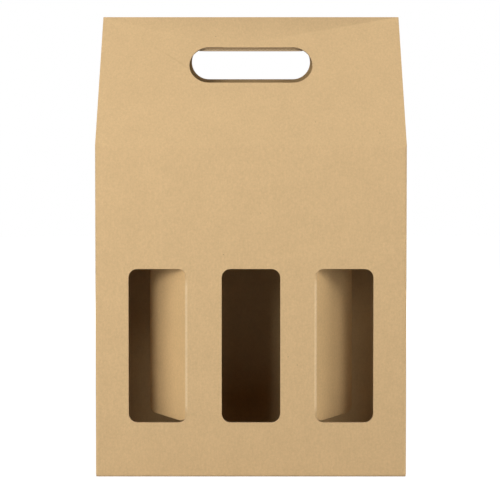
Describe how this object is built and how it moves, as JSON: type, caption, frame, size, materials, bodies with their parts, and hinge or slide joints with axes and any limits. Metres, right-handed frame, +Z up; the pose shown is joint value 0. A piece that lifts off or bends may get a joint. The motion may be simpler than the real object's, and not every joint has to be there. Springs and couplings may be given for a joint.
{
  "type": "wine bottle carrier box",
  "caption": "Gable-topped cardboard carrier for a row of wine bottles, with front windows, folding window flaps and a hand hole.",
  "frame": {"origin": "centre of the base, on the surface that the box stands on", "axes": "the front with its windows faces -Y, +X is to the right as one looks at the front, +Z is up"},
  "size_m": [0.26, 0.086, 0.3925],
  "materials": {
    "kraft_board": "matte uncoated brown kraft board with a fine mottle",
    "kraft_flap": "matte uncoated brown kraft board with a fine mottle"
  },
  "bodies": {
    "carrier": {"carrier": "kraft_board"},
    "left_window_flap": {"left_window_flap": "kraft_flap"},
    "right_window_flap": {"right_window_flap": "kraft_flap"},
    "hand_flap": {"hand_flap": "kraft_flap"}
  },
  "joints": [
    {"name": "left_window_hinge", "type": "hinge", "parent": "carrier", "child": "left_window_flap", "pos_m": [-0.05348, -0.0412, 0.1101], "axis": [0, 0, 1], "range_deg": [-126, 46]},
    {"name": "right_window_hinge", "type": "hinge", "parent": "carrier", "child": "right_window_flap", "pos_m": [0.05348, -0.0412, 0.1101], "axis": [0, 0, -1], "range_deg": [-126, 46]},
    {"name": "hand_flap_hinge", "type": "hinge", "parent": "carrier", "child": "hand_flap", "pos_m": [0, -0.01008, 0.36339], "axis": [1, 0, 0], "range_deg": [-118.72, 0]}
  ]
}
